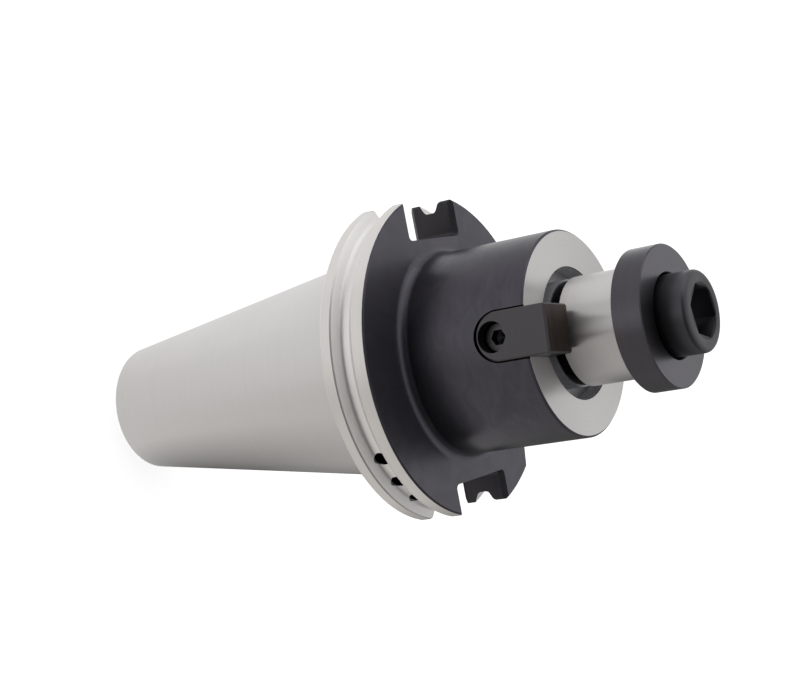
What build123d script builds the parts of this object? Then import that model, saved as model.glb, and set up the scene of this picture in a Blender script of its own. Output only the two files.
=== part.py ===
from build123d import *
import os
from math import cos, radians, sin, sqrt, tan

# A shell mill arbor with a size 50 steep-taper shank. Millimetres and degrees.
# The spindle axis is Z, the taper's gauge plane is at height zero and the cutter end points up.
# The shallow drive slot lies on +X and the deep one on -X.

# Taper and neck
GAUGE_D = 69.85
TAPER_RATE = 7 / 24
TAPER_LENGTH = 101.75
SMALL_END_ROUND = 1.0
NECK_LENGTH = 3.2

# Stepped hole for the pull stud in the small end, M24 thread at its core diameter
STUD_PILOT_D = 25.0
STUD_PILOT_DEPTH = 12.0
STUD_THREAD_CORE_D = 20.75
STUD_THREAD_DEPTH = 56.0
STUD_HOLE_CHAMFER = 1.0

# Flange with its gripper groove
FLANGE_D = 97.5
FLANGE_LENGTH = 15.9
GROOVE_HEIGHT = 11.1
GROOVE_DEPTH = 3.125
GROOVE_FLOOR_WIDTH = 3.5
GROOVE_ANGLE = 60.0
GROOVE_FLOOR_ROUND = 1.6
GROOVE_LIP_CHAMFER = 0.3
REAR_LIP_CHAMFER = 1.0
FRONT_LIP_CHAMFER = 0.5

# Drive slots, each floor at its own distance from the axis
SLOT_WIDTH = 25.7
DEEP_SLOT_FLOOR = 35.5
SHALLOW_SLOT_FLOOR = 37.7
SLOT_CORNER_ROUND = 1.5
SLOT_FRONT_CHAMFER = 1.4
SLOT_REAR_CHAMFER = 2.0
SLOT_MOUTH_CHAMFER = 0.8

# V-shaped orientation notch, through the flange's front lip alone
NOTCH_TURN = 45.0
NOTCH_ANGLE = 110.0
NOTCH_DEPTH = 6.4
NOTCH_ROOT_ROUND = 1.0

# Balance holes, drilled towards the axis from the groove
BALANCE_HOLE_D = 4.5
BALANCE_HOLE_DEPTH = 8.0
BALANCE_HOLE_TURNS = (-57.0, -44.5, -32.0)

# Boss, its shoulder face and the recess round the pilot
BOSS_D = 61.0
SHOULDER_HEIGHT = 60.0
BOSS_ROOT_ROUND = 2.7
BOSS_EDGE_CHAMFER = 0.6
RECESS_WIDTH = 3.25
RECESS_DEPTH = 5.0
RECESS_EDGE_CHAMFER = 0.3
COLLAR_STEP = 0.25

# Pilot that centres the cutter, with a relief groove at its root
PILOT_D = 32.0
PILOT_LENGTH = 22.0
PILOT_END_CHAMFER = 1.0
RELIEF_DEPTH = 0.8
RELIEF_LENGTH = 3.2

# Driving keys
KEY_TURN = 83.0
KEY_WIDTH = 14.0
KEY_PILOT_CLEARANCE = 1.0
KEY_LENGTH = 22.8
KEY_STAND = 7.0
KEY_TOP_STEP = 0.1
KEY_EDGE_CHAMFER = 0.4
KEY_SEAT_ROUND = 0.7
KEY_SIDE_CLEARANCE = 0.05
KEY_REAR_CLEARANCE = 0.1
KEY_SEAT_RELIEF_WIDTH = 0.45
KEY_SEAT_RELIEF_DEPTH = 1.7

# M5 screws that hold the keys
KEY_SCREW_D = 5.0
KEY_SCREW_LENGTH = 8.0
KEY_SCREW_HEAD_D = 8.5
KEY_SCREW_HEAD_LENGTH = 5.0
KEY_SCREW_SOCKET = 4.0
KEY_SCREW_SOCKET_DEPTH = 2.5
KEY_SCREW_HEAD_ROUND = 0.4
KEY_SCREW_END_CHAMFER = 0.5
KEY_SCREW_SUNK = 3.9
KEY_SCREW_INSET = 5.2
KEY_SCREW_SPARE_DEPTH = 1.0
KEY_BORE_CLEARANCE = 0.25
KEY_COUNTERBORE_CLEARANCE = 0.25

# Clamp washer
WASHER_D = 41.2
WASHER_LENGTH = 9.0
WASHER_SEAT_LENGTH = 2.2
WASHER_EDGE_CHAMFER = 0.3
WASHER_BORE_CLEARANCE = 0.4
WASHER_COUNTERBORE_CLEARANCE = 0.5

# M16 clamp screw
CLAMP_SCREW_D = 16.0
CLAMP_SCREW_LENGTH = 35.0
CLAMP_SCREW_HEAD_D = 23.6
CLAMP_SCREW_HEAD_LENGTH = 16.0
CLAMP_SCREW_SOCKET = 14.0
CLAMP_SCREW_SOCKET_DEPTH = 8.0
CLAMP_SCREW_HEAD_ROUND = 1.5
CLAMP_SCREW_END_CHAMFER = 1.5
CLAMP_SCREW_SPARE_DEPTH = 6.0
CLAMP_SCREW_TURN = 14.3
CLAMP_HOLE_CHAMFER = 0.8

# Shapes that every screw and every drilled hole shares
THREAD_CLEARANCE = 0.05
SOCKET_CHAMFER_RATE = 0.025
SOCKET_LEDGE = 0.2
DRILL_POINT_ANGLE = 118.0

# Heights and distances that follow from the sizes above
SMALL_END = -TAPER_LENGTH
SMALL_END_D = GAUGE_D - TAPER_RATE * TAPER_LENGTH
FLANGE_REAR = NECK_LENGTH
FLANGE_FRONT = FLANGE_REAR + FLANGE_LENGTH
GROOVE_FLOOR_D = FLANGE_D - 2 * GROOVE_DEPTH
GROOVE_MOUTH_WIDTH = GROOVE_FLOOR_WIDTH + 2 * GROOVE_DEPTH * tan(radians(GROOVE_ANGLE / 2))
SLOT_MOUTH = sqrt((FLANGE_D / 2) ** 2 - (SLOT_WIDTH / 2) ** 2) - SLOT_MOUTH_CHAMFER
NOTCH_ROOT = FLANGE_D / 2 - NOTCH_DEPTH
RECESS_D = PILOT_D + 2 * RECESS_WIDTH
RECESS_FLOOR = SHOULDER_HEIGHT - RECESS_DEPTH
COLLAR_D = PILOT_D - 2 * COLLAR_STEP
RELIEF_D = PILOT_D - 2 * RELIEF_DEPTH
RELIEF_END = SHOULDER_HEIGHT + RELIEF_LENGTH
PILOT_END = SHOULDER_HEIGHT + PILOT_LENGTH
KEY_TOP = BOSS_D / 2 - KEY_TOP_STEP
KEY_SEAT = PILOT_D / 2 + KEY_PILOT_CLEARANCE
KEY_FRONT = SHOULDER_HEIGHT + KEY_STAND
KEY_REAR = KEY_FRONT - KEY_LENGTH
KEY_SCREW_HEIGHT = KEY_REAR + KEY_SCREW_INSET
KEY_SCREW_SEAT = KEY_TOP - KEY_SCREW_SUNK - KEY_SCREW_HEAD_LENGTH
KEY_SCREW_HOLE_DEPTH = KEY_SCREW_LENGTH - (KEY_SCREW_SEAT - KEY_SEAT) + KEY_SCREW_SPARE_DEPTH
CLAMP_SCREW_SEAT = PILOT_END + WASHER_SEAT_LENGTH
CLAMP_HOLE_DEPTH = CLAMP_SCREW_LENGTH - WASHER_SEAT_LENGTH + CLAMP_SCREW_SPARE_DEPTH
CLAMP_HOLE_D = CLAMP_SCREW_D + 2 * THREAD_CLEARANCE
KEY_TURNS = (KEY_TURN, KEY_TURN + 180)


def turned_edges(builder, diameter, height):
    """The round edges about the spindle axis that have this diameter and lie at this height."""
    found = builder.edges().filter_by(GeomType.CIRCLE)
    found = found.filter_by(lambda edge: abs(edge.radius - diameter / 2) < 0.01)
    return found.filter_by(lambda edge: abs(edge.arc_center.Z - height) < 0.01)


def radial_plane(turn, distance, height=0.0):
    """A plane that faces away from the spindle axis, with its own X along that axis."""
    outward = Vector(cos(radians(turn)), sin(radians(turn)), 0)
    return Plane(origin=outward * distance + Vector(0, 0, height), x_dir=(0, 0, 1), z_dir=outward)


def drill(mouth, diameter, depth):
    """Drills a blind hole with a drill point, down from a plane that faces out of the metal."""
    point = diameter / 2 / tan(radians(DRILL_POINT_ANGLE / 2))
    with Locations(mouth):
        Hole(radius=diameter / 2, depth=depth)
    with Locations(mouth.offset(-depth - point / 2)):
        Cone(bottom_radius=0, top_radius=diameter / 2, height=point, mode=Mode.SUBTRACT)


def slot_tool(floor):
    """The shape that a drive slot on +X takes out of the flange, flared at both faces and at its mouth."""
    half = SLOT_WIDTH / 2
    flare = FLANGE_D / 2 - SLOT_MOUTH
    with BuildPart() as tool:
        with BuildSketch(Plane.XY.offset(FLANGE_REAR)) as slot:
            with BuildLine():
                Polyline(
                    (floor, -half),
                    (SLOT_MOUTH, -half),
                    (SLOT_MOUTH + flare, -half - flare),
                    (SLOT_MOUTH + flare, half + flare),
                    (SLOT_MOUTH, half),
                    (floor, half),
                    close=True,
                )
            make_face()
            fillet(slot.vertices().group_by(Axis.X)[0], SLOT_CORNER_ROUND)
        extrude(amount=FLANGE_LENGTH)
        for face, inward, width in ((FLANGE_FRONT, -1, SLOT_FRONT_CHAMFER), (FLANGE_REAR, 1, SLOT_REAR_CHAMFER)):
            for height, spread in ((face, width), (face + inward * width, 0)):
                with BuildSketch(Plane.XY.offset(height)) as mouth:
                    with Locations((floor, 0)):
                        Rectangle(FLANGE_D / 2 - floor, 2 * (half + spread), align=(Align.MIN, Align.CENTER))
                    fillet(mouth.vertices().group_by(Axis.X)[0], SLOT_CORNER_ROUND)
            loft(ruled=True)
    return tool.part


def key_bar(turn, width, rear, front, low, high):
    """A bar along the spindle axis, full round at its rear end and square at its front end."""
    half = width / 2
    with BuildPart() as bar:
        with BuildSketch(radial_plane(turn, low)):
            with BuildLine():
                Polyline((rear + half, half), (front, half), (front, -half), (rear + half, -half))
                ThreePointArc((rear + half, -half), (rear, 0), (rear + half, half))
            make_face()
        extrude(amount=high - low)
    return bar.part


def drive_key(turn):
    """A driving key with the counterbored hole for its screw."""
    outward = Axis((0, 0, 0), radial_plane(turn, 0).z_dir)
    with BuildPart() as key:
        add(key_bar(turn, KEY_WIDTH, KEY_REAR, KEY_FRONT, KEY_SEAT, KEY_TOP))
        seat_edges = key.faces().sort_by(outward)[0].edges()
        fillet(seat_edges.sort_by(Axis.Z)[:-1], KEY_SEAT_ROUND)
        chamfer(key.faces().sort_by(outward)[-1].edges(), KEY_EDGE_CHAMFER)
        chamfer(key.faces().sort_by(Axis.Z)[-1].edges(), KEY_EDGE_CHAMFER)
        with Locations(radial_plane(turn, KEY_TOP, KEY_SCREW_HEIGHT)):
            CounterBoreHole(
                radius=KEY_SCREW_D / 2 + KEY_BORE_CLEARANCE,
                counter_bore_radius=KEY_SCREW_HEAD_D / 2 + KEY_COUNTERBORE_CLEARANCE,
                counter_bore_depth=KEY_TOP - KEY_SCREW_SEAT,
            )
    return key


def cap_screw(seat, turn, size, length, head_d, head_length, socket, socket_depth, head_round, end_chamfer):
    """A hexagon socket cap screw whose head stands on the seat plane and whose shank goes down from it."""
    with BuildPart() as screw:
        with BuildSketch(seat):
            Circle(head_d / 2)
        extrude(amount=head_length)
        with BuildSketch(seat):
            Circle(size / 2)
        extrude(amount=-length)
        rings = screw.edges().filter_by(GeomType.CIRCLE).sort_by(Axis(seat.origin, seat.z_dir))
        fillet(rings[-1], head_round)
        chamfer(rings[0], end_chamfer)
        top = seat.offset(head_length)
        with BuildSketch(top):
            RegularPolygon(socket / 2, 6, major_radius=False, rotation=turn)
        extrude(amount=-socket_depth, mode=Mode.SUBTRACT)
        head_face = screw.faces().sort_by(Axis(seat.origin, seat.z_dir))[-1]
        chamfer(head_face.inner_wires()[0].edges(), SOCKET_CHAMFER_RATE * socket)
        drill(top, socket - 2 * SOCKET_LEDGE, socket_depth)
    return screw


# Arbor body: the turned outline, from the small end up
with BuildPart() as arbor_body:
    with BuildSketch(Plane.XZ):
        with BuildLine():
            Polyline(
                (0, SMALL_END),
                (SMALL_END_D / 2, SMALL_END),
                (GAUGE_D / 2, 0),
                (GAUGE_D / 2, FLANGE_REAR),
                (FLANGE_D / 2, FLANGE_REAR),
                (FLANGE_D / 2, GROOVE_HEIGHT - GROOVE_MOUTH_WIDTH / 2),
                (GROOVE_FLOOR_D / 2, GROOVE_HEIGHT - GROOVE_FLOOR_WIDTH / 2),
                (GROOVE_FLOOR_D / 2, GROOVE_HEIGHT + GROOVE_FLOOR_WIDTH / 2),
                (FLANGE_D / 2, GROOVE_HEIGHT + GROOVE_MOUTH_WIDTH / 2),
                (FLANGE_D / 2, FLANGE_FRONT),
                (BOSS_D / 2, FLANGE_FRONT),
                (BOSS_D / 2, SHOULDER_HEIGHT),
                (RECESS_D / 2, SHOULDER_HEIGHT),
                (RECESS_D / 2, RECESS_FLOOR),
                (COLLAR_D / 2, RECESS_FLOOR),
                (COLLAR_D / 2, SHOULDER_HEIGHT),
                (RELIEF_D / 2, SHOULDER_HEIGHT),
                (RELIEF_D / 2, RELIEF_END),
                (PILOT_D / 2, RELIEF_END),
                (PILOT_D / 2, PILOT_END),
                (0, PILOT_END),
                close=True,
            )
        make_face()
    revolve(axis=Axis.Z)

    # Breaks and rounds on the turned edges
    fillet(turned_edges(arbor_body, SMALL_END_D, SMALL_END), SMALL_END_ROUND)
    chamfer(turned_edges(arbor_body, FLANGE_D, FLANGE_REAR), REAR_LIP_CHAMFER)
    chamfer(turned_edges(arbor_body, FLANGE_D, FLANGE_FRONT), FRONT_LIP_CHAMFER)
    for side in (-1, 1):
        mouth_edge = GROOVE_HEIGHT + side * GROOVE_MOUTH_WIDTH / 2
        floor_edge = GROOVE_HEIGHT + side * GROOVE_FLOOR_WIDTH / 2
        chamfer(turned_edges(arbor_body, FLANGE_D, mouth_edge), GROOVE_LIP_CHAMFER)
        fillet(turned_edges(arbor_body, GROOVE_FLOOR_D, floor_edge), GROOVE_FLOOR_ROUND)
    fillet(turned_edges(arbor_body, BOSS_D, FLANGE_FRONT), BOSS_ROOT_ROUND)
    chamfer(turned_edges(arbor_body, BOSS_D, SHOULDER_HEIGHT), BOSS_EDGE_CHAMFER)
    chamfer(turned_edges(arbor_body, RECESS_D, SHOULDER_HEIGHT), RECESS_EDGE_CHAMFER)
    chamfer(turned_edges(arbor_body, PILOT_D, PILOT_END), PILOT_END_CHAMFER)

    # Drive slots in the flange
    add(slot_tool(SHALLOW_SLOT_FLOOR), mode=Mode.SUBTRACT)
    add(slot_tool(DEEP_SLOT_FLOOR), rotation=(0, 0, 180), mode=Mode.SUBTRACT)

    # Orientation notch, from the front face into the groove
    with BuildSketch(Plane.XY.offset(FLANGE_FRONT).rotated((0, 0, NOTCH_TURN))) as notch:
        with BuildLine():
            Polyline(
                (NOTCH_ROOT, 0),
                (FLANGE_D / 2, NOTCH_DEPTH * tan(radians(NOTCH_ANGLE / 2))),
                (FLANGE_D / 2, -NOTCH_DEPTH * tan(radians(NOTCH_ANGLE / 2))),
                close=True,
            )
        make_face()
        fillet(notch.vertices().sort_by_distance((0, 0, FLANGE_FRONT))[0], NOTCH_ROOT_ROUND)
    extrude(amount=GROOVE_HEIGHT - FLANGE_FRONT, mode=Mode.SUBTRACT)

    # Balance holes in the groove
    for turn in BALANCE_HOLE_TURNS:
        drill(radial_plane(turn, GROOVE_FLOOR_D / 2, GROOVE_HEIGHT), BALANCE_HOLE_D, BALANCE_HOLE_DEPTH)

    # Stepped hole for the pull stud
    small_end_face = Plane(origin=(0, 0, SMALL_END), x_dir=(1, 0, 0), z_dir=(0, 0, -1))
    with Locations(small_end_face):
        Hole(radius=STUD_PILOT_D / 2, depth=STUD_PILOT_DEPTH)
    drill(small_end_face, STUD_THREAD_CORE_D, STUD_THREAD_DEPTH)
    chamfer(turned_edges(arbor_body, STUD_PILOT_D, SMALL_END), STUD_HOLE_CHAMFER)

    # Threaded hole for the clamp screw
    drill(Plane.XY.offset(PILOT_END), CLAMP_HOLE_D, CLAMP_HOLE_DEPTH)
    chamfer(turned_edges(arbor_body, CLAMP_HOLE_D, PILOT_END), CLAMP_HOLE_CHAMFER)

    # Key seats with the threaded holes for the key screws
    for turn in KEY_TURNS:
        seat_width = KEY_WIDTH + 2 * KEY_SIDE_CLEARANCE
        seat_rear = KEY_REAR - KEY_REAR_CLEARANCE
        add(key_bar(turn, seat_width, seat_rear, SHOULDER_HEIGHT, KEY_SEAT, BOSS_D / 2), mode=Mode.SUBTRACT)
        relief_width = seat_width + 2 * KEY_SEAT_RELIEF_WIDTH
        relief_rear = seat_rear - KEY_SEAT_RELIEF_WIDTH
        relief_floor = KEY_TOP - KEY_SEAT_RELIEF_DEPTH
        add(key_bar(turn, relief_width, relief_rear, SHOULDER_HEIGHT, relief_floor, BOSS_D / 2), mode=Mode.SUBTRACT)
        screw_mouth = radial_plane(turn, KEY_SEAT, KEY_SCREW_HEIGHT)
        drill(screw_mouth, KEY_SCREW_D + 2 * THREAD_CLEARANCE, KEY_SCREW_HOLE_DEPTH)

# Clamp washer: thin at its seat, counterbored for most of the screw's head
with BuildPart() as clamp_washer:
    with BuildSketch(Plane.XY.offset(PILOT_END)):
        Circle(WASHER_D / 2)
    extrude(amount=WASHER_LENGTH)
    with Locations(Plane.XY.offset(PILOT_END + WASHER_LENGTH)):
        CounterBoreHole(
            radius=CLAMP_SCREW_D / 2 + WASHER_BORE_CLEARANCE,
            counter_bore_radius=CLAMP_SCREW_HEAD_D / 2 + WASHER_COUNTERBORE_CLEARANCE,
            counter_bore_depth=WASHER_LENGTH - WASHER_SEAT_LENGTH,
        )
    front_edges = clamp_washer.faces().sort_by(Axis.Z)[-1].edges()
    rear_edges = clamp_washer.faces().sort_by(Axis.Z)[0].edges()
    chamfer(front_edges + rear_edges, WASHER_EDGE_CHAMFER)

# Clamp screw, seated in the washer
clamp_screw = cap_screw(
    seat=Plane.XY.offset(CLAMP_SCREW_SEAT),
    turn=CLAMP_SCREW_TURN,
    size=CLAMP_SCREW_D,
    length=CLAMP_SCREW_LENGTH,
    head_d=CLAMP_SCREW_HEAD_D,
    head_length=CLAMP_SCREW_HEAD_LENGTH,
    socket=CLAMP_SCREW_SOCKET,
    socket_depth=CLAMP_SCREW_SOCKET_DEPTH,
    head_round=CLAMP_SCREW_HEAD_ROUND,
    end_chamfer=CLAMP_SCREW_END_CHAMFER,
)

# The two driving keys and their screws
pieces = {"arbor_body": arbor_body, "clamp_washer": clamp_washer, "clamp_screw": clamp_screw}
for number, turn in enumerate(KEY_TURNS, start=1):
    pieces[f"drive_key_{number}"] = drive_key(turn)
    pieces[f"key_screw_{number}"] = cap_screw(
        seat=radial_plane(turn, KEY_SCREW_SEAT, KEY_SCREW_HEIGHT),
        turn=0,
        size=KEY_SCREW_D,
        length=KEY_SCREW_LENGTH,
        head_d=KEY_SCREW_HEAD_D,
        head_length=KEY_SCREW_HEAD_LENGTH,
        socket=KEY_SCREW_SOCKET,
        socket_depth=KEY_SCREW_SOCKET_DEPTH,
        head_round=KEY_SCREW_HEAD_ROUND,
        end_chamfer=KEY_SCREW_END_CHAMFER,
    )

os.makedirs("parts", exist_ok=True)
for label, piece in pieces.items():
    piece.part.label = label
    export_step(piece.part, f"parts/{label}.step")
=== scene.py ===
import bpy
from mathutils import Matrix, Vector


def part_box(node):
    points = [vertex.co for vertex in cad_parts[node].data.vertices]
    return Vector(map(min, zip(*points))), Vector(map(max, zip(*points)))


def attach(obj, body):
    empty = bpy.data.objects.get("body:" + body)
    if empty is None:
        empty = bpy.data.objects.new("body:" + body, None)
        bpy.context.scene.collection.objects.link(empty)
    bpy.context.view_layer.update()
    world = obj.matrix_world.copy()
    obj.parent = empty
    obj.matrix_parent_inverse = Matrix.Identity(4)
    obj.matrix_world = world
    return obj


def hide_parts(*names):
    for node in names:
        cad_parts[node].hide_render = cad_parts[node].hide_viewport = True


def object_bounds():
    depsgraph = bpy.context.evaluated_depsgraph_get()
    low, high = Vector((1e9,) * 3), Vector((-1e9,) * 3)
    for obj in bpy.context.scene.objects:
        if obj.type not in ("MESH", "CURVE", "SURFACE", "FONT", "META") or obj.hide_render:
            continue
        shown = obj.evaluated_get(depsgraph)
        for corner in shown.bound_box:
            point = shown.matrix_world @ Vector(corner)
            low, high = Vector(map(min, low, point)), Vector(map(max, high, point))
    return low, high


bl_info = {
    "name": "Shell mill arbor",
    "version": (1, 0, 0),
    "blender": (4, 5, 0),
    "location": "View3D > Sidebar > Arbor",
    "description": "Finishes the ground and blackened pieces of a shell mill arbor and sets up its studio",
    "category": "Object",
}

import math

import bmesh
import bpy
from bpy.props import FloatProperty, FloatVectorProperty, IntProperty, PointerProperty
from mathutils import Matrix, Quaternion, Vector

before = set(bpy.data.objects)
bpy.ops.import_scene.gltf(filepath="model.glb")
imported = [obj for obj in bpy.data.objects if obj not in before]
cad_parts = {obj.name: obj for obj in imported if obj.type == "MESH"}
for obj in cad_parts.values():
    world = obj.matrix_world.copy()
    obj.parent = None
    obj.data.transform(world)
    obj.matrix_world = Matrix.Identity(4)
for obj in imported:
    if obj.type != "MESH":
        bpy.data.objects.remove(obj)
cad_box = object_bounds()

MATH, VECTOR_MATH = "ShaderNodeMath", "ShaderNodeVectorMath"
NOISE, RANGE, MIX = "ShaderNodeTexNoise", "ShaderNodeMapRange", "ShaderNodeMix"
# The mix node's sockets: its share, the two numbers or colours that it mixes, and the colour that it gives.
SHARE, NUMBER_1, NUMBER_2, COLOUR_1, COLOUR_2, MIXED_COLOUR = 0, 2, 3, 6, 7, 2
# Vertices nearer than this are one, in a copied CAD mesh and in the spun thread.
CAD_MERGE, THREAD_MERGE = 1e-7, 1e-6

# Nearly all of a noise texture's values lie between these two.
NOISE_SPAN = (0.3, 0.7)
# The least and most that the lines and patches multiply each finish's shade by. The stains' are added to 1.
GROUND_LINES, GROUND_PATCHES = (0.985, 1.015), (0.98, 1.02)
BLACK_LINES, BLACK_STAINS, BLACK_PATCHES = (0.97, 1.03), (-0.1, 0.1), (0.95, 1.05)
# How many times closer together the stains are along the axis than round it.
STAIN_SMEAR = 2.2
# Most roughness that the patches add to the body, and to the turned pieces.
BODY_DULLING, TURNED_DULLING = 0.05, 0.08
# Share of the metal that the oxide skin hides in the recess, and on the flange's front face.
RECESS_SKIN, FACE_SKIN = 0.8, 0.3
# Share of the lines' depth that the bump shows, and the quarter turn that draws gloss out across them.
BUMP_STRENGTH, ACROSS = 0.5, 0.25


def linear(hex_colour):
    """The linear colour of an sRGB hex value, as three numbers."""
    channels = [int(hex_colour[place : place + 2], 16) / 255 for place in (1, 3, 5)]
    return [c / 12.92 if c <= 0.04045 else ((c + 0.055) / 1.055) ** 2.4 for c in channels]


def colour_property(name, description, hex_colour):
    """A colour setting, given as an sRGB hex value."""
    return FloatVectorProperty(
        name=name, description=description, subtype="COLOR", size=3, min=0, max=1, default=linear(hex_colour)
    )


def length_property(name, description, metres):
    """A length setting in metres."""
    return FloatProperty(
        name=name, description=description, subtype="DISTANCE", unit="LENGTH", default=metres, precision=5
    )


def angle_property(name, description, degrees):
    """An angle setting, given in degrees."""
    return FloatProperty(
        name=name, description=description, subtype="ANGLE", unit="ROTATION", default=math.radians(degrees)
    )


def place_property(name, description, place):
    """A place in the frame, in metres."""
    return FloatVectorProperty(
        name=name, description=description, subtype="TRANSLATION", unit="LENGTH", size=3, default=place
    )


def share_property(name, description, share):
    """A setting between 0 and 1."""
    return FloatProperty(name=name, description=description, subtype="FACTOR", min=0, max=1, default=share)


def fade_property(name, description, start, end, low, high):
    """A change of level: where it starts, where it ends, and the level before and after it."""
    return FloatVectorProperty(name=name, description=description, size=4, default=(start, end, low, high))


class ArborFinishes(bpy.types.PropertyGroup):
    """Colour, dullness and pattern of each finish on the arbor."""

    ground_colour: colour_property("Ground steel", "Taper, neck, shoulder face and pilot", "#D6D4D3")
    # A paler copy of the ground steel: painted light on the rims.
    rim_painted_light_colour: colour_property("Rim steel", "Ground rims on both sides of the groove", "#E2DFDC")
    # Turned steel, painted paler than the ground steel: painted light that lifts the shade in the groove.
    groove_turned_and_lit_colour: colour_property("Turned steel", "Gripper groove, turned and not ground", "#EEECEA")
    black_colour: colour_property("Blackened steel", "Boss with its root, and flange's rear face", "#504E55")
    face_colour: colour_property("Blackened face", "Flange's front face, more finely turned", "#56545C")
    # Milled steel, painted darker than the blackened steel so that the flares keep the slot's shade: partly
    # painted shade.
    slot_steel_and_shade_colour: colour_property("Slot steel", "Milled walls of the slots and the notch", "#444246")
    # Near-black painted shade in the balance holes, bores, relief groove and gaps round the keys.
    painted_hole_shade_colour: colour_property("Deep steel", "Balance holes, bores and gaps round the keys", "#151416")
    # The recess is painted pale grey, and its outer wall near white: painted light that lifts the shade in
    # the recess.
    recess_painted_light_colour: colour_property("Recess steel", "Recess's floor, matt and less blackened", "#A8A8AC")
    recess_wall_painted_light_colour: colour_property("Recess wall", "Recess's outer wall, bored brighter", "#E6E6EA")
    washer_colour: colour_property("Washer rim", "Turned and blackened rim of the washer", "#535156")
    washer_face_colour: colour_property("Washer face", "Washer's faces, less deeply blackened", "#67656A")
    key_colour: colour_property("Key steel", "Top and sides of the driving keys", "#525052")
    key_end_colour: colour_property("Key end", "Keys' end faces, browned by the bath", "#5F5450")
    screw_colour: colour_property("Screw steel", "Blackened socket screws", "#545458")
    # Painted shade inside the clamp screw's socket.
    socket_painted_shade_colour: colour_property("Socket steel", "Inside of the clamp screw's socket", "#262528")

    ground_roughness: share_property("Ground dullness", "Roughness of the ground steel", 0.33)
    groove_roughness: share_property("Groove dullness", "Roughness of the gripper groove", 0.42)
    black_roughness: share_property("Black dullness", "Roughness of the blackened boss", 0.32)
    face_roughness: share_property("Face dullness", "Roughness of the flange's front face", 0.3)
    recess_roughness: share_property("Recess dullness", "Roughness of the recess", 0.4)
    milled_roughness: share_property("Milled dullness", "Roughness of what is milled or drilled", 0.48)
    washer_roughness: share_property("Washer dullness", "Roughness of the clamp washer", 0.24)
    screw_roughness: share_property("Screw dullness", "Roughness of the clamp screw", 0.36)
    small_screw_roughness: share_property("Small screw dullness", "Roughness of the keys' screws", 0.34)
    key_roughness: share_property("Key dullness", "Roughness of the driving keys", 0.42)
    ground_pull: share_property("Ground pull", "How far ground steel draws out its gloss", 0.9)
    black_pull: share_property("Black pull", "How far the groove and black steel draw it out", 0.25)
    turned_pull: share_property("Turned pull", "How far the washer and screws draw it out", 0.5)

    # Real turning and grinding lines are a tenth of a millimetre apart or less, too fine to show in a picture
    # of the whole arbor, so both are drawn as coarse as they need to be.
    line_spacing: length_property("Line spacing", "Distance between the turning lines", 0.0007)
    line_depth: length_property("Line depth", "Depth of the turning lines", 0.000003)
    patch_size: length_property("Patch size", "Size of the faint patches on the body", 0.02222)
    turned_patch_size: length_property("Small patch size", "Size of the patches on turned pieces", 0.01667)
    stain_size: length_property("Stain size", "Size of the stains on the blackened body", 0.01053)
    key_line_spacing: length_property("Key line spacing", "Distance between grinding lines", 0.0004545)
    key_line_depth: length_property("Key line depth", "Depth of the keys' grinding lines", 0.000004)
    key_line_shade: share_property("Key line shade", "How much those lines shade a key's top", 0.06)
    key_end_shade: share_property("Key end shade", "How much those lines shade a key's end", 0.24)


class ArborZones(bpy.types.PropertyGroup):
    """Places that part one finish from another."""

    flange_rear: length_property("Flange rear", "Height of the flange's rear face", 0.0032)
    flange_front: length_property("Flange front", "Height of the flange's front face", 0.0191)
    front_edge: length_property("Front edge", "Width of the flange's front edge break", 0.0005)
    slot_half: length_property("Half slot", "Half the width of a drive slot", 0.01285)
    slot_floor: length_property("Slot floor", "Least distance of a slot's floor from the axis", 0.0355)
    slot_mouth: length_property("Slot mouth", "Distance from the axis at which its zone flares", 0.04603)
    slot_rear_flare: length_property("Rear flare", "Width of a slot's flare at the rear face", 0.002)
    slot_front_flare: length_property("Front flare", "Width of a slot's flare at the front face", 0.0014)
    notch_root: length_property("Notch root", "Distance of the notch's root from the axis", 0.04235)
    notch_turn: angle_property("Notch turn", "Angle of the orientation notch about the axis", 45)
    notch_angle: angle_property("Notch angle", "Angle between the notch's two flanks", 110)
    groove_height: length_property("Groove height", "Height of the middle of the gripper groove", 0.0111)
    groove_half: length_property("Half groove", "Half the groove's width, with its broken edges", 0.0041)
    groove_floor: length_property("Groove floor", "Radius of the gripper groove's floor", 0.045625)
    flange: length_property("Flange", "Radius of the flange", 0.04875)
    balance_hole: length_property("Balance hole", "Radius of the balance holes", 0.00225)
    bore: length_property("Bore", "Radius of the widest hole along the axis, with its edge", 0.0136)
    bore_start: length_property("Bore start", "Height at which the hole's dark starts", cad_box[0].z + 0.001)
    bore_end: length_property("Bore end", "Height at which the clamp screw's hole begins", 0.081)
    boss: length_property("Boss", "Radius of the boss", 0.0305)
    boss_root: length_property("Boss root", "Radius of the round at the boss's root", 0.0027)
    shoulder: length_property("Shoulder", "Height of the shoulder face", 0.06)
    recess: length_property("Recess", "Radius of the recess round the pilot", 0.01925)
    recess_floor: length_property("Recess floor", "Height of the recess's floor", 0.055)
    relief: length_property("Relief", "Radius of the relief groove at the pilot's root", 0.0152)
    pilot_start: length_property("Pilot start", "Height at which the ground pilot starts", 0.0632)
    key_turn: angle_property("Key turn", "Angle of one key about the axis", 83)
    key_seat_half: length_property("Half key seat", "Half the width of a key seat with its relief", 0.0075)
    key_seat_rear: length_property("Key seat rear", "Height at which a key seat's relief begins", 0.04365)
    key_end: length_property("Key end", "Height of the keys' end faces", 0.067)
    washer_edge: length_property("Washer edge", "How far the washer's rim reaches on to its faces", 0.0003)
    socket: length_property("Socket", "Half the width across the socket's corners", 0.0082)
    socket_depth: length_property("Socket depth", "Depth of the socket with its drilled end", 0.011)
    slack: length_property("Slack", "How far each zone reaches past its edge", 0.00003)


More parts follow.
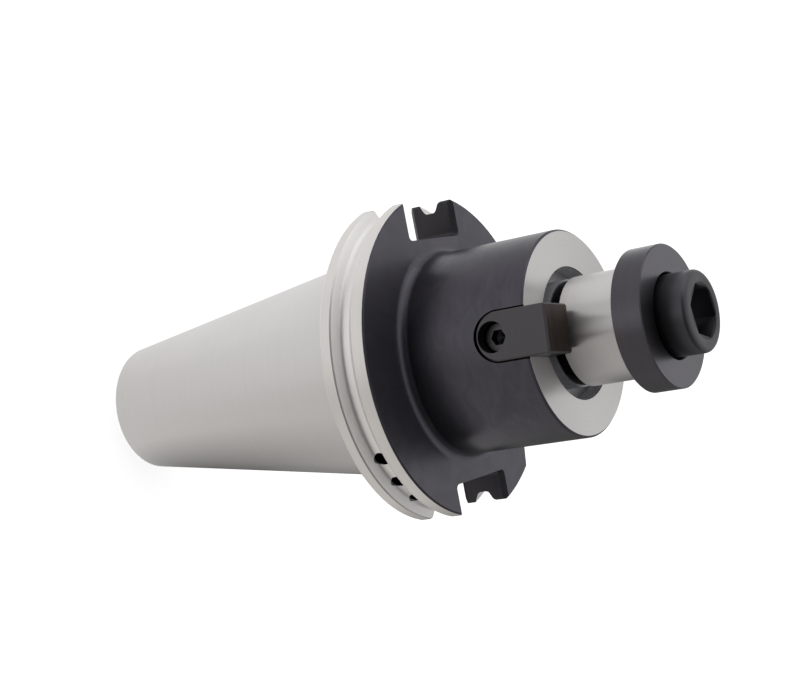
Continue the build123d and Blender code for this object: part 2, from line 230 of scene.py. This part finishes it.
class ClampThread(bpy.types.PropertyGroup):
    """Sizes of the clamp screw's thread and of where it meets the head."""

    pitch: length_property("Pitch", "Travel of the clamp screw in one turn", 0.002)
    crest_radius: length_property("Crest radius", "Radius of the thread's crest", 0.008)
    depth: share_property("Depth", "Depth of the thread as a share of its pitch", 0.6134)
    flat: share_property("Flat", "Width of the crest's flat as a share of the pitch", 0.125)
    end_inset: length_property("End inset", "How far inside the root the screw's end face stops", 0.0002)
    washer_seat: length_property("Washer seat", "Thickness of the washer under the screw's head", 0.0022)
    overlap: length_property("Overlap", "How far the head reaches down over the thread", 0.00005)
    sharp: angle_property("Sharp edges", "Angle from which an edge of the screw looks sharp", 25)
    steps: IntProperty(
        name="Steps in a turn",
        description="Number of straight steps in each turn of the thread",
        min=12,
        default=48,
    )


class StudioStage(bpy.types.PropertyGroup):
    """The floor, the surroundings, the soft box and the camera.

    A fade goes by X or by reach, in metres, or by turn, in radians. Reach is the distance from the middle of
    the object's foot, and turn the angle about the axis.
    """

    floor_colour: colour_property("Floor", "Plain paper floor", "#E6E6E6")
    floor_size: length_property("Floor size", "Side of the square floor", 8.0)
    floor_lift: share_property("Floor lift", "Light that the camera sees the floor give off", 0.72)
    # The fades, rings, shadows and warm tint below paint light and shade on the floor's glow, which only
    # metal sees.
    left_fade: fade_property("Left fade", "Mirrored floor on the left, by X", -0.28, -0.12, 0.8, 1.09)
    middle_fade: fade_property("Middle fade", "Mirrored floor in the middle, by X", -0.1, 0.05, 1, 0.75)
    right_side: fade_property("Right side", "Where the rings on the right start, by X", 0.02, 0.1, 0, 1)
    painted_light_ring: fade_property("Pale ring", "Paler floor on the right, by reach", 0.15, 0.19, 0, 0.5)
    painted_shade_ring: fade_property("Dark ring", "Darker floor further right, by reach", 0.22, 0.26, 0, -0.55)
    near_turn: fade_property("Near shadow's turn", "Shadow by the foot, by turn", -0.9, 0.6, 0, 0.85)
    near_reach: fade_property("Near shadow's reach", "Shadow by the foot, by reach", 0.07, 0.19, 1.15, 0)
    far_turn: fade_property("Far shadow's turn", "Shadow away from the foot, by turn", 0.1, 0.9, 0, 0.7)
    far_reach: fade_property("Far shadow's reach", "Shadow away from the foot, by reach", 0.1, 0.16, 0, 1)
    shadow_end: fade_property("Shadow's end", "Where both shadows fade, by turn", 1.4, 1.8, 1, 0)
    painted_warm_fade: fade_property("Warm side", "Where the mirrored floor grows warm, by X", -0.1, 0.08, 0, 1)
    painted_warm_light: colour_property("Warm floor", "Tint of the mirrored floor on the right", "#FFFDFA")
    bright_side: FloatVectorProperty(
        name="Bright side",
        description="Direction in which the room is brightest",
        subtype="XYZ",
        size=3,
        default=(-0.2, 0.45, 0.59),
    )
    room_fade: fade_property("Room fade", "Room's level, along that direction", -0.2, 0.8, 0.08, 0.8)
    box_place: place_property("Soft box place", "Where the middle of the soft box is", (-0.75, -0.05, 0.25))
    box_size: length_property("Soft box size", "Side of the square soft box", 0.9)
    box_radiance: share_property("Soft box level", "Brightness of its face, where 1 is white", 0.5)
    camera_place: place_property("Camera place", "Where the camera stands", (-0.01197, -0.46467, 0.30265))
    camera_aim: place_property("Camera aim", "Point in the picture's middle", (-0.00736, 0.00104, 0.0014))
    camera_roll: angle_property("Camera roll", "Turn of the camera about its line of sight", 79.5)
    camera_near: length_property("Near limit", "Nearest distance that the camera sees", 0.01)
    camera_far: length_property("Far limit", "Farthest distance that the camera sees", 50)
    camera_lens: FloatProperty(name="Lens", description="Focal length in mm", default=80.13)
    camera_sensor: FloatProperty(name="Sensor", description="Width of the sensor in mm", default=36)


def add_node(tree, kind, inputs=(), out=0, **settings):
    """Adds a node, sets its properties, sets or links its inputs, and gives one of its outputs."""
    node = tree.nodes.new(kind)
    for name, value in settings.items():
        setattr(node, name, value)
    keyed = inputs if isinstance(inputs, dict) else dict(enumerate(inputs))
    for key, value in keyed.items():
        socket = node.inputs[key]
        if isinstance(value, bpy.types.NodeSocket):
            tree.links.new(value, socket)
        else:
            # A colour setting has three numbers, and a colour socket a fourth.
            socket.default_value = (*value, 1) if socket.type == "RGBA" else value
    return node.outputs[out] if len(node.outputs) else None


def both(tree, first, *others):
    """The product of masks or levels."""
    for other in others:
        first = add_node(tree, MATH, (first, other), operation="MULTIPLY")
    return first


def either(tree, first, *others):
    """The largest of masks or levels."""
    for other in others:
        first = add_node(tree, MATH, (first, other), operation="MAXIMUM")
    return first


def except_for(tree, first, other):
    """The first mask without the other."""
    return both(tree, first, add_node(tree, MATH, (1.0, other), operation="SUBTRACT"))


def within(tree, value, low=None, high=None):
    """1 where a value lies between two limits, or past the only one given, and 0 elsewhere."""
    masks = []
    for limit, side in ((low, "GREATER_THAN"), (high, "LESS_THAN")):
        if limit is not None:
            masks.append(add_node(tree, MATH, (value, limit), operation=side))
    return both(tree, *masks)


def reach_along(tree, place, turn):
    """How far the place lies along a direction square to the axis."""
    towards = (math.cos(turn), math.sin(turn), 0)
    return add_node(tree, VECTOR_MATH, (place, towards), "Value", operation="DOT_PRODUCT")


def distance_from_plane(tree, place, turn):
    """How far the place lies, on either side, from the plane through the axis that faces a turn."""
    return add_node(tree, MATH, (reach_along(tree, place, turn),), operation="ABSOLUTE")


def new_material(name):
    """An empty node material and its tree."""
    material = bpy.data.materials.new(name)
    material.use_nodes = True
    material.node_tree.nodes.clear()
    return material, material.node_tree


def finish_node(name, material):
    """Gives a CAD node one material in every slot that it has."""
    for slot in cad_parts[name].material_slots:
        slot.material = material


def turned_pattern(tree, spacing):
    """The object place, height, distance from the axis, turning lines and the direction along them."""
    place = add_node(tree, "ShaderNodeTexCoord", out="Object")
    height = add_node(tree, "ShaderNodeSeparateXYZ", (place,), "Z")
    flat = add_node(tree, VECTOR_MATH, (place, (1, 1, 0)), operation="MULTIPLY")
    radius = add_node(tree, VECTOR_MATH, (flat,), "Value", operation="LENGTH")
    profile = add_node(tree, "ShaderNodeCombineXYZ", (radius, height))
    lines = add_node(tree, NOISE, {"Vector": profile, "Scale": 1 / spacing, "Detail": 2.0, "Roughness": 0.6})
    along = add_node(tree, VECTOR_MATH, ((0, 0, 1), flat), operation="CROSS_PRODUCT")
    along = add_node(tree, VECTOR_MATH, (along,), operation="NORMALIZE")
    spaces = {"convert_from": "OBJECT", "convert_to": "WORLD"}
    along = add_node(tree, "ShaderNodeVectorTransform", (along,), vector_type="VECTOR", **spaces)
    return place, height, radius, lines, along


def steel_surface(tree, colour, roughness, lines, along, pull, depth, metallic=1.0):
    """Metal whose gloss is drawn out across its machining lines."""
    bump = add_node(tree, "ShaderNodeBump", {"Strength": BUMP_STRENGTH, "Distance": depth, "Height": lines})
    sizes = {
        "Base Color": colour,
        "Metallic": metallic,
        "Roughness": roughness,
        "Anisotropic": pull,
        "Anisotropic Rotation": ACROSS,
        "Tangent": along,
        "Normal": bump,
    }
    return add_node(tree, "ShaderNodeBsdfPrincipled", sizes)


def blackened_zone(tree, zones, height, radius):
    """1 on the flange's rear face and ahead of its front lip, but for the shoulder face and the pilot."""
    slack = zones.slack
    ahead = within(tree, height, zones.flange_front - zones.front_edge + slack)
    at_rear = within(tree, height, zones.flange_rear - slack, zones.flange_rear + slack)
    behind = both(tree, at_rear, within(tree, radius, zones.slot_floor))
    at_shoulder = within(tree, height, zones.shoulder - slack)
    shoulder = both(tree, at_shoulder, within(tree, radius, zones.recess - slack))
    pilot = within(tree, height, zones.pilot_start - slack)
    return either(tree, except_for(tree, ahead, either(tree, shoulder, pilot)), behind)


def slot_zone(tree, zones, place, height):
    """1 on the walls and floors of the two drive slots and of the orientation notch, which are painted partly
    darker as painted shade.
    """
    slack = 2 * zones.slack
    # The flange's faces stay as black as the rest of it.
    between = within(tree, height, zones.flange_rear + slack, zones.flange_front - slack)

    along = distance_from_plane(tree, place, 0)
    aside = distance_from_plane(tree, place, math.pi / 2)
    # The walls flare at both faces of the flange and at the slot's mouth.
    rear, front = zones.flange_rear + zones.slot_rear_flare, zones.flange_front - zones.slot_front_flare
    past_rear = add_node(tree, MATH, (rear, height), operation="SUBTRACT")
    past_front = add_node(tree, MATH, (height, front), operation="SUBTRACT")
    past_mouth = add_node(tree, MATH, (along, zones.slot_mouth), operation="SUBTRACT")
    flare = either(tree, past_rear, past_front, past_mouth, 0.0)
    wall = add_node(tree, MATH, (flare, zones.slot_half + slack), operation="ADD")
    slot = both(tree, within(tree, aside, high=wall), between, within(tree, along, zones.slot_floor - slack))

    reach = reach_along(tree, place, zones.notch_turn)
    past_root = add_node(tree, MATH, (reach, zones.notch_root - 2 * slack), operation="SUBTRACT")
    flank = both(tree, past_root, math.tan(zones.notch_angle / 2))
    beside = distance_from_plane(tree, place, zones.notch_turn + math.pi / 2)
    in_front_lip = within(tree, height, zones.groove_height)
    notch = both(tree, within(tree, beside, high=flank), between, in_front_lip)
    return either(tree, slot, notch)


def painted_hole_shade_zone(tree, zones, place, height, radius):
    """1 in the balance holes, the holes along the axis, the relief groove and the gaps round the keys, which
    get a near-black painted shade.
    """
    slack = zones.slack
    hole = zones.balance_hole + slack
    balance = both(
        tree,
        within(tree, radius, zones.slot_floor, zones.groove_floor - 2 * slack),
        within(tree, height, zones.groove_height - hole, zones.groove_height + hole),
    )
    bores = both(
        tree,
        within(tree, radius, high=zones.bore),
        within(tree, height, zones.bore_start, zones.bore_end),
    )
    relief = both(
        tree,
        within(tree, radius, high=zones.relief + slack),
        within(tree, height, zones.shoulder - slack, zones.pilot_start + slack),
    )
    aside = distance_from_plane(tree, place, zones.key_turn + math.pi / 2)
    key_seats = both(
        tree,
        within(tree, aside, high=zones.key_seat_half + slack),
        within(tree, radius, zones.recess + slack, zones.boss - 3 * slack),
        within(tree, height, zones.key_seat_rear - slack, zones.shoulder - slack),
    )
    return either(tree, balance, bores, relief, key_seats)


def groove_zone(tree, zones, height, radius):
    """1 in the gripper groove, with its broken edges."""
    depth = within(tree, radius, zones.slot_floor, zones.flange - zones.slack)
    rear, front = zones.groove_height - zones.groove_half, zones.groove_height + zones.groove_half
    return both(tree, depth, within(tree, height, rear, front))


def face_zone(tree, zones, height, radius):
    """1 on the flange's front face, up to the foot of the boss's root."""
    skin = within(tree, height, zones.flange_front - zones.slack, zones.flange_front + zones.boss_root / 3)
    return both(tree, skin, within(tree, radius, zones.boss))


def recess_zones(tree, zones, height, radius):
    """Masks of the recess with its edge, of all of it below the edge, and of its outer wall. The first and
    the last carry the painted light that lifts the recess's shade.
    """
    slack = zones.slack
    hollow = within(tree, radius, zones.relief, zones.recess + slack)
    recess = both(tree, hollow, within(tree, height, zones.recess_floor - slack, zones.shoulder + slack))
    matt = both(tree, recess, within(tree, height, high=zones.shoulder - slack))
    wall = both(tree, matt, within(tree, radius, zones.recess - slack))
    return recess, matt, wall


def arbor_body_material(finishes, zones):
    """Case-hardened steel, turned and blackened all over, then ground bright where it fits something.

    The ground zones read as pale satin metal with faint lines round the axis. The blackened ones are dark and
    softly stained, with a sheen that fans out round the flange's face and runs along the boss.
    """
    material, tree = new_material("turned_steel_ground_and_blackened")
    place, height, radius, lines, along = turned_pattern(tree, finishes.line_spacing)
    black = blackened_zone(tree, zones, height, radius)
    slots = slot_zone(tree, zones, place, height)
    # Painted shade in the holes and gaps, but not in the slots.
    painted_hole_shade = except_for(tree, painted_hole_shade_zone(tree, zones, place, height, radius), slots)
    groove = groove_zone(tree, zones, height, radius)
    face = face_zone(tree, zones, height, radius)
    recess, matt, recess_wall = recess_zones(tree, zones, height, radius)
    rims = within(tree, radius, zones.groove_floor)

    sizes = {"Vector": place, "Scale": 1 / finishes.patch_size, "Detail": 3.0, "Roughness": 0.55}
    patches = add_node(tree, NOISE, sizes)
    # The stains are smeared round the axis, so they are closer together along it.
    smeared = add_node(tree, VECTOR_MATH, (place, (1, 1, STAIN_SMEAR)), operation="MULTIPLY")
    sizes = {"Scale": 1 / finishes.stain_size, "Detail": 2.0, "Roughness": 0.5, "Distortion": 1.4}
    stains = add_node(tree, NOISE, {"Vector": smeared, **sizes})

    # Ground steel draws its gloss out far along the axis, and its rims are a little paler: painted light on
    # the same steel.
    lined = add_node(tree, RANGE, (lines, *NOISE_SPAN, *GROUND_LINES))
    shade = both(tree, lined, add_node(tree, RANGE, (patches, *NOISE_SPAN, *GROUND_PATCHES)))
    colours = {SHARE: rims, COLOUR_1: finishes.ground_colour, COLOUR_2: finishes.rim_painted_light_colour}
    colour = add_node(tree, MIX, colours, MIXED_COLOUR, data_type="RGBA")
    colour = add_node(tree, VECTOR_MATH, {0: colour, "Scale": shade}, operation="SCALE")
    dulled = patches, BODY_DULLING, finishes.ground_roughness
    roughness = add_node(tree, MATH, dulled, operation="MULTIPLY_ADD")
    depth = finishes.line_depth
    ground_steel = steel_surface(tree, colour, roughness, lines, along, finishes.ground_pull, depth)

    # The rest is turned, bored, milled or drilled, and all of it but the groove is blackened to some degree.
    # On top of that, the holes and gaps get a near-black painted shade, the slots are painted partly darker
    # as painted shade, and the groove and the recess are painted paler as painted light.
    layers = (
        (groove, finishes.groove_turned_and_lit_colour, finishes.groove_roughness),
        (face, finishes.face_colour, finishes.face_roughness),
        (recess, finishes.recess_painted_light_colour, finishes.recess_roughness),
        (recess_wall, finishes.recess_wall_painted_light_colour, finishes.recess_roughness),
        (slots, finishes.slot_steel_and_shade_colour, finishes.milled_roughness),
        (painted_hole_shade, finishes.painted_hole_shade_colour, finishes.milled_roughness),
    )
    colour, roughness = finishes.black_colour, finishes.black_roughness
    for mask, layer_colour, layer_roughness in layers:
        colours = {SHARE: mask, COLOUR_1: colour, COLOUR_2: layer_colour}
        colour = add_node(tree, MIX, colours, MIXED_COLOUR, data_type="RGBA")
        levels = {SHARE: mask, NUMBER_1: roughness, NUMBER_2: layer_roughness}
        roughness = add_node(tree, MIX, levels, data_type="FLOAT")
    # The stains are on all of it but the groove.
    stained = except_for(tree, add_node(tree, RANGE, (stains, *NOISE_SPAN, *BLACK_STAINS)), groove)
    stained = add_node(tree, MATH, (stained, 1.0), operation="ADD")
    shade = both(tree, add_node(tree, RANGE, (lines, *NOISE_SPAN, *BLACK_LINES)), stained)
    colour = add_node(tree, VECTOR_MATH, {0: colour, "Scale": shade}, operation="SCALE")
    roughness = add_node(tree, MATH, (patches, BODY_DULLING, roughness), operation="MULTIPLY_ADD")
    metallic = add_node(tree, MATH, (face, -FACE_SKIN, 1.0), operation="MULTIPLY_ADD")
    metallic = add_node(tree, MATH, (matt, -RECESS_SKIN, metallic), operation="MULTIPLY_ADD")
    pull = finishes.black_pull
    black_steel = steel_surface(tree, colour, roughness, lines, along, pull, depth, metallic)

    not_ground = either(tree, black, slots, painted_hole_shade, recess, groove)
    shown = add_node(tree, "ShaderNodeMixShader", (not_ground, ground_steel, black_steel))
    add_node(tree, "ShaderNodeOutputMaterial", {"Surface": shown})
    return material


def turned_black_material(name, finishes, colour, roughness, inner_colour_and_shade=None, inner=None, inner_base=None):
    """Turned and blackened steel: dark satin metal with faint lines round the axis.

    It may have another colour inside a radius, and then only above a height where one is given: the washer's
    faces, or the painted shade inside the clamp screw's socket.
    """
    material, tree = new_material(name)
    place, height, radius, lines, along = turned_pattern(tree, finishes.line_spacing)
    sizes = {"Vector": place, "Scale": 1 / finishes.turned_patch_size, "Detail": 3.0, "Roughness": 0.55}
    patches = add_node(tree, NOISE, sizes)
    lined = add_node(tree, RANGE, (lines, *NOISE_SPAN, *BLACK_LINES))
    shade = both(tree, lined, add_node(tree, RANGE, (patches, *NOISE_SPAN, *BLACK_PATCHES)))
    if inner_colour_and_shade is not None:
        inside = within(tree, radius, high=inner)
        if inner_base is not None:
            inside = both(tree, inside, within(tree, height, inner_base))
        colours = {SHARE: inside, COLOUR_1: colour, COLOUR_2: inner_colour_and_shade}
        colour = add_node(tree, MIX, colours, MIXED_COLOUR, data_type="RGBA")
    shaded = add_node(tree, VECTOR_MATH, {0: colour, "Scale": shade}, operation="SCALE")
    dulled = add_node(tree, MATH, (patches, TURNED_DULLING, roughness), operation="MULTIPLY_ADD")
    steel = steel_surface(tree, shaded, dulled, lines, along, finishes.turned_pull, finishes.line_depth)
    add_node(tree, "ShaderNodeOutputMaterial", {"Surface": steel})
    return material


def key_material(finishes, zones):
    """Ground and blackened key steel: grey-black with straight grinding lines, browner on its end face."""
    material, tree = new_material("ground_key_steel_blackened")
    place = add_node(tree, "ShaderNodeTexCoord", out="Object")
    height = add_node(tree, "ShaderNodeSeparateXYZ", (place,), "Z")
    end = within(tree, height, zones.key_end - zones.slack)
    # The grinding lines lie across the key, on its top and on its end alike.
    ruled = add_node(tree, "ShaderNodeCombineXYZ", (reach_along(tree, place, zones.key_turn), height))
    sizes = {"Vector": ruled, "Scale": 1 / finishes.key_line_spacing, "Detail": 2.0, "Roughness": 0.6}
    lines = add_node(tree, NOISE, sizes)
    bump = {"Strength": BUMP_STRENGTH, "Distance": finishes.key_line_depth, "Height": lines}
    colours = {SHARE: end, COLOUR_1: finishes.key_colour, COLOUR_2: finishes.key_end_colour}
    colour = add_node(tree, MIX, colours, MIXED_COLOUR, data_type="RGBA")
    strength = add_node(tree, RANGE, (end, 0, 1, finishes.key_line_shade, finishes.key_end_shade))
    lined = add_node(tree, RANGE, (lines, *NOISE_SPAN, -1, 1))
    shade = add_node(tree, MATH, (lined, strength, 1.0), operation="MULTIPLY_ADD")
    sizes = {
        "Base Color": add_node(tree, VECTOR_MATH, {0: colour, "Scale": shade}, operation="SCALE"),
        "Metallic": 1.0,
        "Roughness": finishes.key_roughness,
        "Normal": add_node(tree, "ShaderNodeBump", bump),
    }
    steel = add_node(tree, "ShaderNodeBsdfPrincipled", sizes)
    add_node(tree, "ShaderNodeOutputMaterial", {"Surface": steel})
    return material


class ARBOR_OT_body(bpy.types.Operator):
    """Gives the arbor body its ground and blackened steel"""

    bl_idname = "arbor.body"
    bl_label = "Arbor body"

    def execute(self, context):
        scene = context.scene
        finish_node("arbor_body", arbor_body_material(scene.arbor_finishes, scene.arbor_zones))
        return {"FINISHED"}


class ARBOR_OT_keys(bpy.types.Operator):
    """Gives the driving keys and their screws their blackened steel"""

    bl_idname = "arbor.keys"
    bl_label = "Driving keys and screws"

    def execute(self, context):
        finishes = context.scene.arbor_finishes
        key_steel = key_material(finishes, context.scene.arbor_zones)
        look = finishes.screw_colour, finishes.small_screw_roughness
        screw_steel = turned_black_material("blackened_small_screw_steel", finishes, *look)
        for number in (1, 2):
            finish_node(f"drive_key_{number}", key_steel)
            finish_node(f"key_screw_{number}", screw_steel)
        return {"FINISHED"}


class ARBOR_OT_washer(bpy.types.Operator):
    """Gives the clamp washer its glossier blackened steel"""

    bl_idname = "arbor.washer"
    bl_label = "Clamp washer"

    def execute(self, context):
        finishes = context.scene.arbor_finishes
        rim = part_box("clamp_washer")[1].x - context.scene.arbor_zones.washer_edge
        look = finishes.washer_colour, finishes.washer_roughness, finishes.washer_face_colour, rim
        finish_node("clamp_washer", turned_black_material("blackened_washer_steel", finishes, *look))
        return {"FINISHED"}


class ARBOR_OT_clamp_screw(bpy.types.Operator):
    """Makes the clamp screw with its real thread and gives it its blackened steel"""

    bl_idname = "arbor.clamp_screw"
    bl_label = "Clamp screw"

    def execute(self, context):
        thread = context.scene.clamp_thread
        low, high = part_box("clamp_screw")
        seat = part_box("clamp_washer")[0].z + thread.washer_seat
        solid = bmesh.new()
        solid.from_mesh(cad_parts["clamp_screw"].data)
        bmesh.ops.remove_doubles(solid, verts=solid.verts, dist=CAD_MERGE)
        self.cut_off(solid, seat - thread.overlap, (0, 0, -1))
        shank = self.threaded_shank(thread, low.z, seat)
        solid.from_mesh(shank)
        bpy.data.meshes.remove(shank)

        mesh = bpy.data.meshes.new("clamp_screw_threaded")
        solid.to_mesh(mesh)
        solid.free()
        mesh.shade_smooth()
        mesh.set_sharp_from_angle(angle=thread.sharp)
        screw = bpy.data.objects.new("clamp_screw_threaded", mesh)
        context.scene.collection.objects.link(screw)
        finishes, zones = context.scene.arbor_finishes, context.scene.arbor_zones
        # Inside its socket the screw gets a near-black painted shade.
        look = finishes.screw_colour, finishes.screw_roughness, finishes.socket_painted_shade_colour
        inside = zones.socket, high.z - zones.socket_depth
        mesh.materials.append(turned_black_material("blackened_clamp_screw_steel", finishes, *look, *inside))
        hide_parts("clamp_screw")
        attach(screw, "clamp_screw")
        return {"FINISHED"}

    def cut_off(self, solid, height, normal):
        """Cuts off what lies past a height, on the side that the normal points to, and closes the cut."""
        bmesh.ops.bisect_plane(
            solid,
            geom=solid.verts[:] + solid.edges[:] + solid.faces[:],
            plane_co=(0, 0, height),
            plane_no=normal,
            clear_outer=True,
        )
        bmesh.ops.holes_fill(solid, edges=[edge for edge in solid.edges if edge.is_boundary])

    def threaded_shank(self, thread, low, high):
        """The shank between two heights, as a mesh: one pitch of its outline, spun round and up the axis."""
        crest = thread.crest_radius
        root = crest - thread.depth * thread.pitch
        half_crest = thread.flat / 2
        outline = (
            (root, 0),
            (root, thread.flat),
            (crest, 0.5 - half_crest),
            (crest, 0.5 + half_crest),
            (root, 1 - thread.flat),
            (root, 1),
        )
        turns = math.ceil((high - low) / thread.pitch) + 1
        start = low - thread.pitch
        shank = bmesh.new()
        verts = [shank.verts.new((reach, 0, start + share * thread.pitch)) for reach, share in outline]
        edges = [shank.edges.new(pair) for pair in zip(verts, verts[1:])]
        bmesh.ops.spin(
            shank,
            geom=verts + edges,
            cent=(0, 0, 0),
            axis=(0, 0, 1),
            dvec=(0, 0, thread.pitch / thread.steps),
            angle=2 * math.pi * turns,
            steps=thread.steps * turns,
            use_merge=False,
        )
        bmesh.ops.remove_doubles(shank, verts=shank.verts, dist=THREAD_MERGE)
        self.cut_off(shank, low, (0, 0, -1))
        self.cut_off(shank, high, (0, 0, 1))
        # The screw's end is chamfered at 45 degrees, from inside the thread's root.
        for vert in shank.verts:
            reach = vert.co.xy.length
            limit = root - thread.end_inset + max(vert.co.z - low, 0)
            if reach > limit:
                vert.co.xy *= limit / reach
        bmesh.ops.recalc_face_normals(shank, faces=shank.faces)
        mesh = bpy.data.meshes.new("shank")
        shank.to_mesh(mesh)
        shank.free()
        return mesh


class ARBOR_OT_stage(bpy.types.Operator):
    """Makes the paper floor with its painted glow, the soft box, the pale surroundings and the camera"""

    bl_idname = "arbor.stage"
    bl_label = "Studio stage"

    def execute(self, context):
        scene = context.scene
        stage = scene.studio_stage
        self.lay_floor(scene, stage)
        self.hang_soft_box(scene, stage)
        self.set_camera(scene, stage)
        scene.world = self.surroundings(stage)
        scene.view_settings.view_transform = "Standard"
        return {"FINISHED"}

    def lay_floor(self, scene, stage):
        """Lays the square paper floor at the object's foot."""
        mesh = bpy.data.meshes.new("floor")
        plane = bmesh.new()
        foot = Matrix.Translation((0, 0, cad_box[0].z))
        bmesh.ops.create_grid(plane, x_segments=1, y_segments=1, size=stage.floor_size / 2, matrix=foot)
        plane.to_mesh(mesh)
        plane.free()
        floor = bpy.data.objects.new("floor", mesh)
        scene.collection.objects.link(floor)
        mesh.materials.append(self.paper(stage))

    def hang_soft_box(self, scene, stage):
        """Hangs the square soft box, facing the origin and hidden from the camera."""
        lamp = bpy.data.lights.new("soft_box", "AREA")
        lamp.size = stage.box_size
        # The power that gives a square's face this radiance.
        lamp.energy = stage.box_radiance * math.pi * stage.box_size**2
        soft_box = bpy.data.objects.new("soft_box", lamp)
        soft_box.location = stage.box_place
        soft_box.rotation_mode = "QUATERNION"
        soft_box.rotation_quaternion = (-Vector(stage.box_place)).to_track_quat("-Z", "Y")
        soft_box.visible_camera = False
        scene.collection.objects.link(soft_box)

    def set_camera(self, scene, stage):
        """Sets up the camera at the photograph's viewing angle."""
        lens = bpy.data.cameras.new("camera")
        lens.sensor_width = stage.camera_sensor
        lens.lens = stage.camera_lens
        lens.clip_start, lens.clip_end = stage.camera_near, stage.camera_far
        camera = bpy.data.objects.new("camera", lens)
        sight = Vector(stage.camera_aim) - Vector(stage.camera_place)
        roll = Quaternion((0, 0, 1), stage.camera_roll)
        camera.location = stage.camera_place
        camera.rotation_mode = "QUATERNION"
        camera.rotation_quaternion = sight.to_track_quat("-Z", "Y") @ roll
        scene.collection.objects.link(camera)
        scene.camera = camera

    def paper(self, stage):
        """White paper. The camera sees it as white with the object's shadow, and metal sees a painted glow on
        it, graded with painted light, painted shade and a painted shadow of the object.
        """
        material, tree = new_material("paper_floor_with_painted_glow")
        rays = add_node(tree, "ShaderNodeLightPath").node.outputs
        paper = add_node(tree, "ShaderNodeBsdfDiffuse", {"Color": stage.floor_colour})
        lift = both(tree, rays["Is Camera Ray"], stage.floor_lift)
        lift = add_node(tree, "ShaderNodeEmission", {"Strength": lift})
        seen = add_node(tree, "ShaderNodeAddShader", (paper, lift))

        place = add_node(tree, "ShaderNodeTexCoord", out="Object")
        x, y, _ = add_node(tree, "ShaderNodeSeparateXYZ", (place,)).node.outputs
        turn = add_node(tree, MATH, (y, x), operation="ARCTAN2")
        foot = (0, 0, cad_box[0].z)
        reach = add_node(tree, VECTOR_MATH, (place, foot), "Value", operation="DISTANCE")

        # In metal the paper shows a painted glow that fades to both sides, and a ring of painted light and
        # one of painted shade cross its right.
        left = add_node(tree, RANGE, (x, *stage.left_fade))
        middle = add_node(tree, RANGE, (x, *stage.middle_fade))
        right = add_node(tree, RANGE, (x, *stage.right_side))
        paler = both(tree, add_node(tree, RANGE, (reach, *stage.painted_light_ring)), right)
        paler = add_node(tree, MATH, (paler, 1.0), operation="ADD")
        darker = both(tree, add_node(tree, RANGE, (reach, *stage.painted_shade_ring)), right)
        darker = add_node(tree, MATH, (darker, 1.0), operation="ADD")

        # A painted shadow of the object lies behind it on the right, in a near part and a far one.
        near = add_node(tree, RANGE, (turn, *stage.near_turn))
        near = both(tree, near, add_node(tree, RANGE, (reach, *stage.near_reach)))
        far = add_node(tree, RANGE, (turn, *stage.far_turn))
        far = both(tree, far, add_node(tree, RANGE, (reach, *stage.far_reach)))
        shadow = add_node(tree, MATH, (near, far), operation="ADD")
        shadow = both(tree, shadow, add_node(tree, RANGE, (turn, *stage.shadow_end)))
        lit = add_node(tree, MATH, (1.0, shadow), operation="SUBTRACT")

        # A painted warm light on the floor's right.
        warm_light_share = add_node(tree, RANGE, (x, *stage.painted_warm_fade))
        tints = {SHARE: warm_light_share, COLOUR_1: (1, 1, 1), COLOUR_2: stage.painted_warm_light}
        tint = add_node(tree, MIX, tints, MIXED_COLOUR, data_type="RGBA")
        level = both(tree, left, middle, paler, darker, lit)
        # The painted glow, which metal sees in place of the paper.
        mirrored = add_node(tree, "ShaderNodeEmission", {"Color": tint, "Strength": level})
        shown = add_node(tree, "ShaderNodeMixShader", (rays["Is Glossy Ray"], seen, mirrored))
        add_node(tree, "ShaderNodeOutputMaterial", {"Surface": shown})
        return material

    def surroundings(self, stage):
        """A room that is white to the camera and brightest behind and above the object."""
        world = bpy.data.worlds.new("pale_room")
        world.use_nodes = True
        tree = world.node_tree
        tree.nodes.clear()
        direction = add_node(tree, "ShaderNodeTexCoord", out="Generated")
        along = add_node(tree, VECTOR_MATH, (direction, stage.bright_side), "Value", operation="DOT_PRODUCT")
        level = add_node(tree, RANGE, (along, *stage.room_fade), interpolation_type="SMOOTHSTEP")
        seen = add_node(tree, "ShaderNodeLightPath", out="Is Camera Ray")
        sky = {"Color": (1, 1, 1), "Strength": either(tree, level, seen)}
        add_node(tree, "ShaderNodeOutputWorld", {"Surface": add_node(tree, "ShaderNodeBackground", sky)})
        return world


class ARBOR_PT_panel(bpy.types.Panel):
    """Buttons that make each piece of the arbor and its stage"""

    bl_idname = "ARBOR_PT_panel"
    bl_label = "Shell mill arbor"
    bl_space_type = "VIEW_3D"
    bl_region_type = "UI"
    bl_category = "Arbor"

    def draw(self, context):
        for group, place in settings:
            box = self.layout.box()
            for name in group.__annotations__:
                box.prop(getattr(context.scene, place), name)
        for operator in operators:
            self.layout.operator(operator.bl_idname)


settings = (
    (ArborFinishes, "arbor_finishes"),
    (ArborZones, "arbor_zones"),
    (ClampThread, "clamp_thread"),
    (StudioStage, "studio_stage"),
)
operators = (ARBOR_OT_body, ARBOR_OT_keys, ARBOR_OT_washer, ARBOR_OT_clamp_screw, ARBOR_OT_stage)


def register():
    for group, place in settings:
        bpy.utils.register_class(group)
        setattr(bpy.types.Scene, place, PointerProperty(type=group))
    for operator in operators:
        bpy.utils.register_class(operator)
    bpy.utils.register_class(ARBOR_PT_panel)


def unregister():
    bpy.utils.unregister_class(ARBOR_PT_panel)
    for operator in reversed(operators):
        bpy.utils.unregister_class(operator)
    for group, place in reversed(settings):
        delattr(bpy.types.Scene, place)
        bpy.utils.unregister_class(group)


def main():
    register()
    bpy.ops.arbor.body()
    bpy.ops.arbor.keys()
    bpy.ops.arbor.washer()
    bpy.ops.arbor.clamp_screw()
    bpy.ops.arbor.stage()


if __name__ == "__main__":
    main()
